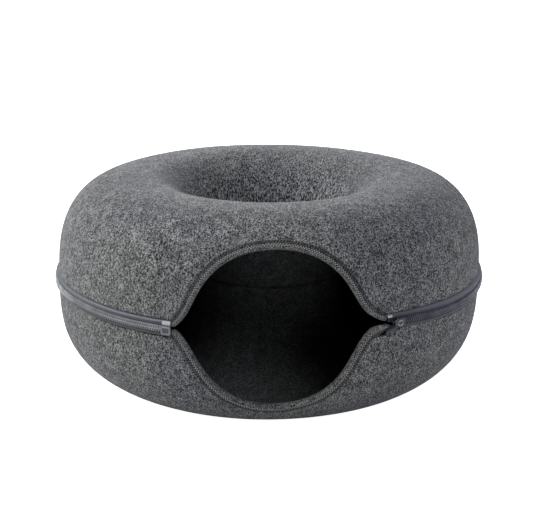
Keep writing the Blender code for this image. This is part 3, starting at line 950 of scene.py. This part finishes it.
COIL_PITCH = 0.00345
COIL_WIRE = 0.00070  # half its thickness
COIL_POINTS = 12  # on each loop
COIL_SIDES = 5
COIL_DEPTH = 0.0024
COIL_LOOP = 0.0041  # height of one spiral's loop
COIL_SHIFT = 0.0021  # how far each spiral's middle is from the chain's
COIL_SLANT = 0.36
COIL_MIDDLE = -0.0020  # over MIDDLE
COIL_ENDS = (30.4, 360 - 25.6)
COIL_RADIUS = ZIP_RADIUS - COIL_DEPTH / 2 - COIL_WIRE
COIL_TURNS = round(math.radians(COIL_ENDS[1] - COIL_ENDS[0]) * COIL_RADIUS / COIL_PITCH)


def coil_finish(name, colour):
    """Drawn nylon: pale grey and slightly glossy, with painted shade at the back of each loop."""
    made, tree, shader, where = new_finish(name)
    worn = mottled(tree, noise_field(tree, where, 60.0, 3.0, 0.6), colour, 0.72, 1.18)
    along = parts_of(tree, laid_flat(tree))[0]
    turn = maths(tree, "MULTIPLY_ADD", along, 2 * math.pi * COIL_TURNS, -0.7)
    front = maths(tree, "MULTIPLY_ADD", maths(tree, "COSINE", turn), 0.5, 0.5)
    loop_back_shade = ramp(tree, front, (0.25, grey(0.03)), (0.52, grey(1.0)))
    # Painted shade: the teeth are darker and bluer from the slider's end round the right side.
    right_side_shade = ramp(tree, along, (0.02, (0.36, 0.37, 0.42)), (0.32, grey(1.0)))
    with_painted_light = shaded(tree, shaded(tree, worn, loop_back_shade), right_side_shade)
    cover(tree, with_painted_light, noise_field(tree, where, 1800.0, 1.0), strength=0.2, distance=0.0001)
    shader.inputs["Roughness"].default_value = 0.30
    return made


def coil(upward, phase):
    """A flattened spiral round the ring, made from a long narrow sheet rolled into a wire."""
    start, end = COIL_ENDS

    def place(u, v):
        turn = 2 * math.pi * (COIL_TURNS * u + phase)
        deep, high = math.cos(turn), math.sin(turn)
        degrees = start + (end - start) * u
        climbed = parted("upper" if upward > 0 else "lower", degrees)
        up = COIL_SHIFT * upward + high * COIL_LOOP / 2
        angle = math.radians(degrees) + COIL_SLANT * up / COIL_RADIUS
        wire = 2 * math.pi * v
        thick = math.cos(wire) * COIL_WIRE
        angle += math.sin(wire) * COIL_WIRE / COIL_RADIUS
        out = COIL_RADIUS + deep * (COIL_DEPTH / 2 + thick)
        return around(out, angle, MIDDLE + COIL_MIDDLE + climbed + up + high * thick)

    bm = grid_piece(COIL_TURNS * COIL_POINTS, COIL_SIDES, place)
    bmesh.ops.remove_doubles(bm, verts=bm.verts, dist=0.00001)
    bmesh.ops.holes_fill(bm, edges=[e for e in bm.edges if e.is_boundary])
    bmesh.ops.recalc_face_normals(bm, faces=bm.faces)
    settle(bm)
    return bm


nylon = coil_finish("coil nylon", (0.640, 0.645, 0.680))
upper_coil = add_piece("upper_coil", coil(1, 0.0), nylon)
add_piece("lower_coil", coil(-1, 0.06), nylon)
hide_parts("zip_chain")

# ---------------------------------------------
# The zip's closed end: a clip of cloudy clear plastic moulded over the last teeth, and above it
# a pale film that is welded to the tape so that its cut end can't fray.

CLIP = (0.0118, 0.0046, 0.0094)  # along the zip, outwards, up
CLIP_EDGE = 0.0009
CLIP_RIM = 0.0020  # round the dished face
CLIP_DISH = 0.0014
CLIP_ANGLE = -26.45
CLIP_SUNK = 0.0004  # into the teeth
FITTINGS_MIDDLE = -0.0029  # over MIDDLE
# Columns: name, from and to in degrees, first and last column of the tape that it covers, colour;
# the right film's lighter colour is painted light.
FILMS = (
    ("left", -27.55, -25.35, 4, 8, (0.70, 0.70, 0.74)),
    ("right", 27.85, 29.1, 3, 7, (0.92, 0.92, 1.00)),
)
FILM_LIFT = 0.0007
FILM_THICKNESS = 0.0003
PROBE = 0.0001  # step over which the tape's slope is taken
FILM_FOLLOWS = 0.85  # how much of the felt edge's shift its upper end follows


def cloudy_plastic(name, colour, clear):
    """Moulded plastic that lets some light through, with flow marks."""
    made, tree, shader, where = new_finish(name)
    flow = noise_field(tree, where, 220.0, 3.0, 0.6, 1.0)
    cover(tree, mottled(tree, flow, colour, 0.75, 1.2), flow, strength=0.25, distance=0.0003)
    shader.inputs["Roughness"].default_value = 0.28
    shader.inputs["Transmission Weight"].default_value = clear
    return made


def set_on_zip(bm, angle, proud):
    """Sets a fitting on the zip's teeth, with its own +Y pointing out of the ring."""
    turn = math.radians(angle)
    height = MIDDLE + FITTINGS_MIDDLE + zip_rise(angle)
    spot = Matrix.Translation(around(ZIP_RADIUS + proud, turn, height))
    facing = Matrix.Rotation(turn + math.pi, 4, "Z")
    bmesh.ops.transform(bm, matrix=spot @ facing, verts=bm.verts)
    settle(bm)


def block(bm, size, centre=(0.0, 0.0, 0.0)):
    made = bmesh.ops.create_cube(bm, size=1.0)["verts"]
    bmesh.ops.scale(bm, vec=size, verts=made)
    bmesh.ops.translate(bm, verts=made, vec=centre)
    return made


def soften(bm, width, edges=None):
    """Rounds the edges."""
    rounding = {"affect": "EDGES", "segments": 3, "profile": 0.5, "material": -1}
    bmesh.ops.bevel(bm, geom=edges or bm.edges[:], offset=width, **rounding)


bm = bmesh.new()
block(bm, CLIP)
front = max(bm.faces, key=lambda f: f.calc_center_median().y)
bmesh.ops.inset_region(bm, faces=[front], thickness=CLIP_RIM)
bmesh.ops.translate(bm, verts=front.verts[:], vec=(0.0, -CLIP_DISH, 0.0))
front.material_index = 1
long_edges = [e for e in bm.edges if e.calc_length() > CLIP[1] - CLIP_DISH / 2]
outer = [e for e in long_edges if e not in front.edges[:]]
soften(bm, CLIP_EDGE, [e for e in outer if len(e.link_faces) == 2 and e.calc_face_angle() > 1.5])
set_on_zip(bm, CLIP_ANGLE, -CLIP_SUNK)
clip = add_piece(
    "zip_end_clip", bm, cloudy_plastic("clear clip", (0.50, 0.51, 0.60), 0.30)
)
# The dished middle of the clip is a darker copy of its plastic: painted shade.
clip.data.materials.append(cloudy_plastic("clip middle painted shade", (0.17, 0.17, 0.20), 0.30))
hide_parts("zip_end_box")

for side, start, end, top, bottom, colour in FILMS:

    def film_place(u, v):
        visible = UPPER_TAPE[top : bottom + 1]
        run = lengths(visible)
        out, up = at_length(visible, run, run[-1] * v)
        further, higher = at_length(visible, run, run[-1] * v + PROBE)
        normal = Vector((up - higher, further - out)).normalized()
        if normal.x < 0:
            normal.negate()
        degrees = start + (end - start) * u
        out, up = Vector((out, up)) + normal * FILM_LIFT
        up += upper_edge_shift(degrees)[0] * FILM_FOLLOWS * (1 - v) + zip_rise(degrees) * v
        return around(FELT_RADIUS + out, math.radians(degrees), MIDDLE + up)

    bm = grid_piece(8, 12, film_place)
    settle(bm)
    welded = cloudy_plastic("welded film " + side, colour, 0.0)
    film = add_piece("tape_end_film_" + side, bm, welded)
    thicken(film, FILM_THICKNESS)

# ---------------------------------------------
# The slider: a die-cast body painted to match the tape. Its wedge parts the coils, and a wire
# loop hangs from the bridge on its face.

SLIDER = (0.0150, 0.0018, 0.0100)  # along the zip, outwards, up: one plate
SLIDER_ANGLE = 31.2
SLIDER_NOSE = 0.85  # how narrow the closed end is
SLIDER_PROUD = 0.0004  # of the teeth's face
SLIDER_EDGE = 0.0005
PLATE_GAP = 0.0030
WEDGE = (0.0036, 0.0030)  # along the zip, up
BRIDGE = (0.0070, 0.0007, 0.0026)
BRIDGE_GAP = 0.0012  # from the plate's face to the bridge's middle
LOOP_RADIUS = 0.0033
LOOP_WIRE = 0.00070
LOOP_STEPS = 32
LOOP_PROUD = 0.0018
LOOP_DROP = 0.0008


def painted_metal(name, colour):
    """Enamel on zinc: satin, with rubbed places."""
    made, tree, shader, where = new_finish(name)
    rubbed = noise_field(tree, where, 300.0, 3.0, 0.6)
    colour = mottled(tree, rubbed, colour, 0.8, 1.25, 0.4, 0.7)
    cover(tree, colour, rubbed, strength=0.15, distance=0.0002)
    shader.inputs["Roughness"].default_value = 0.36
    shader.inputs["Metallic"].default_value = 0.35
    return made


enamel = painted_metal("slider enamel", (0.150, 0.153, 0.175))
loop_metal = painted_metal("loop wire", (0.720, 0.720, 0.730))

bm = bmesh.new()
length, depth = SLIDER[:2]
between = depth + PLATE_GAP  # from one plate's middle to the other's
for inwards in (0.0, -between):
    for vert in block(bm, SLIDER, (0.0, inwards, 0.0)):
        if vert.co.x > 0:
            vert.co.z *= SLIDER_NOSE
block(bm, (WEDGE[0], between, WEDGE[1]), ((WEDGE[0] - length) / 2, -between / 2, 0.0))
soften(bm, SLIDER_EDGE)
block(bm, BRIDGE, (0.0, depth / 2 + BRIDGE_GAP, 0.0))
set_on_zip(bm, SLIDER_ANGLE, SLIDER_PROUD)
slider = add_piece("slider_body", bm, enamel)
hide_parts("zip_slider")

bm = bmesh.new()
wire = bmesh.ops.create_circle(bm, segments=8, radius=LOOP_WIRE)["verts"]
upright = Matrix.Rotation(0.5 * math.pi, 3, "X")
bmesh.ops.translate(bm, verts=wire, vec=(LOOP_RADIUS, 0.0, 0.0))
bmesh.ops.rotate(bm, verts=wire, cent=(LOOP_RADIUS, 0, 0), matrix=upright)
turned(bm, LOOP_STEPS)
bmesh.ops.rotate(bm, verts=bm.verts, cent=(0, 0, 0), matrix=upright)
bmesh.ops.translate(bm, verts=bm.verts, vec=(0.0, 0.0, -LOOP_DROP))
set_on_zip(bm, SLIDER_ANGLE, LOOP_PROUD)
pull = add_piece("slider_loop", bm, loop_metal)
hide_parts("zip_pull")

# ---------------------------------------------
# The studio: a pale floor, soft lights and the camera, a little left of the entrance and above.

FLOOR_SIZE = 14.0
CAMERA_AZIMUTH = -1.5  # degrees to the left of the entrance's middle
CAMERA_ELEVATION = 16.84
CAMERA_DISTANCE = 1.8404
CAMERA_LENS = 87.05
AIM_HEIGHT = 0.140
IMAGE_WIDTH = 534
AXIS_SHIFT = (-1.72, 3.51)  # pixels by which the aim is off the image's middle
LAMP_SIZE = 1.0
LAMP_DISTANCE = 2.4
# Columns: name, degrees round from the entrance, degrees up, watts, colour.
LIGHTS = (
    ("left", -80, 28, 25.0, (1.0, 0.994, 0.975)),
    ("left_behind", -110, 28, 15.0, (0.992, 1.0, 0.986)),
    ("above_behind", -128, 62, 17.5, (0.905, 0.952, 1.0)),
    ("back", 180, 10, 30.0, (0.962, 0.966, 1.0)),
    ("right_behind", 120, 10, 11.0, (0.875, 0.905, 1.0)),
    ("right_high", 25, 45, 7.6, (0.94, 1.0, 0.985)),
    ("right_low", 45, 28, 9.8, (0.94, 0.915, 1.0)),
)

bm = bmesh.new()
bmesh.ops.create_grid(bm, x_segments=1, y_segments=1, size=FLOOR_SIZE / 2)
floor = new_object("floor", bm)
paper, paper_tree, sheet, _ = new_finish("paper floor")
sheet.inputs["Base Color"].default_value = (0.8, 0.8, 0.8, 1.0)
sheet.inputs["Roughness"].default_value = 0.9
sheet.inputs["Emission Color"].default_value = (1.0, 1.0, 1.0, 1.0)
straight = tree_node(paper_tree, "ShaderNodeLightPath").outputs["Is Camera Ray"]
paper_tree.links.new(straight, sheet.inputs["Emission Strength"])
floor.data.materials.append(paper)


def direction(degrees_round, degrees_up):
    """The direction from the cave to a lamp or the camera."""
    bearing, up = math.radians(degrees_round), math.radians(degrees_up)
    flat = Vector((math.sin(bearing), -math.cos(bearing), 0.0)) * math.cos(up)
    return flat + Vector((0.0, 0.0, math.sin(up)))


def aimed(name, data, towards, distance):
    """A lamp or camera that looks at the cave from a direction."""
    made = bpy.data.objects.new(name, data)
    made.location = target + towards * distance
    made.rotation_euler = (-towards).to_track_quat("-Z", "Y").to_euler()
    scene.collection.objects.link(made)
    return made


target = AXIS + Vector((LEAN / 2, 0.0, AIM_HEIGHT))
for name, degrees_round, degrees_up, watts, colour in LIGHTS:
    lamp = bpy.data.lights.new(name, "AREA")
    lamp.size = LAMP_SIZE
    lamp.energy = watts
    lamp.color = colour
    light = aimed(name, lamp, direction(degrees_round, degrees_up), LAMP_DISTANCE)
    light.visible_camera = False

room = bpy.data.worlds.new("studio")
scene.world = room
room.use_nodes = True
sky = room.node_tree
seen = tree_node(sky, "ShaderNodeBackground", {"Color": (1, 1, 1, 1), "Strength": 1.0})
lit = tree_node(sky, "ShaderNodeBackground", {"Color": (0.95, 0.97, 1.0, 1), "Strength": 0.01})
ray = tree_node(sky, "ShaderNodeLightPath").outputs["Is Camera Ray"]
mixed = tree_node(sky, "ShaderNodeMixShader", {0: ray, 1: lit.outputs[0], 2: seen.outputs[0]})
sky.links.new(mixed.outputs[0], sky.nodes["World Output"].inputs["Surface"])

eye = bpy.data.cameras.new("camera")
eye.lens = CAMERA_LENS
eye.sensor_width = 36.0
eye.shift_x = AXIS_SHIFT[0] / IMAGE_WIDTH
eye.shift_y = AXIS_SHIFT[1] / IMAGE_WIDTH
backwards = direction(CAMERA_AZIMUTH, CAMERA_ELEVATION)
scene.camera = aimed("camera", eye, backwards, CAMERA_DISTANCE)
scene.view_settings.view_transform = "Standard"
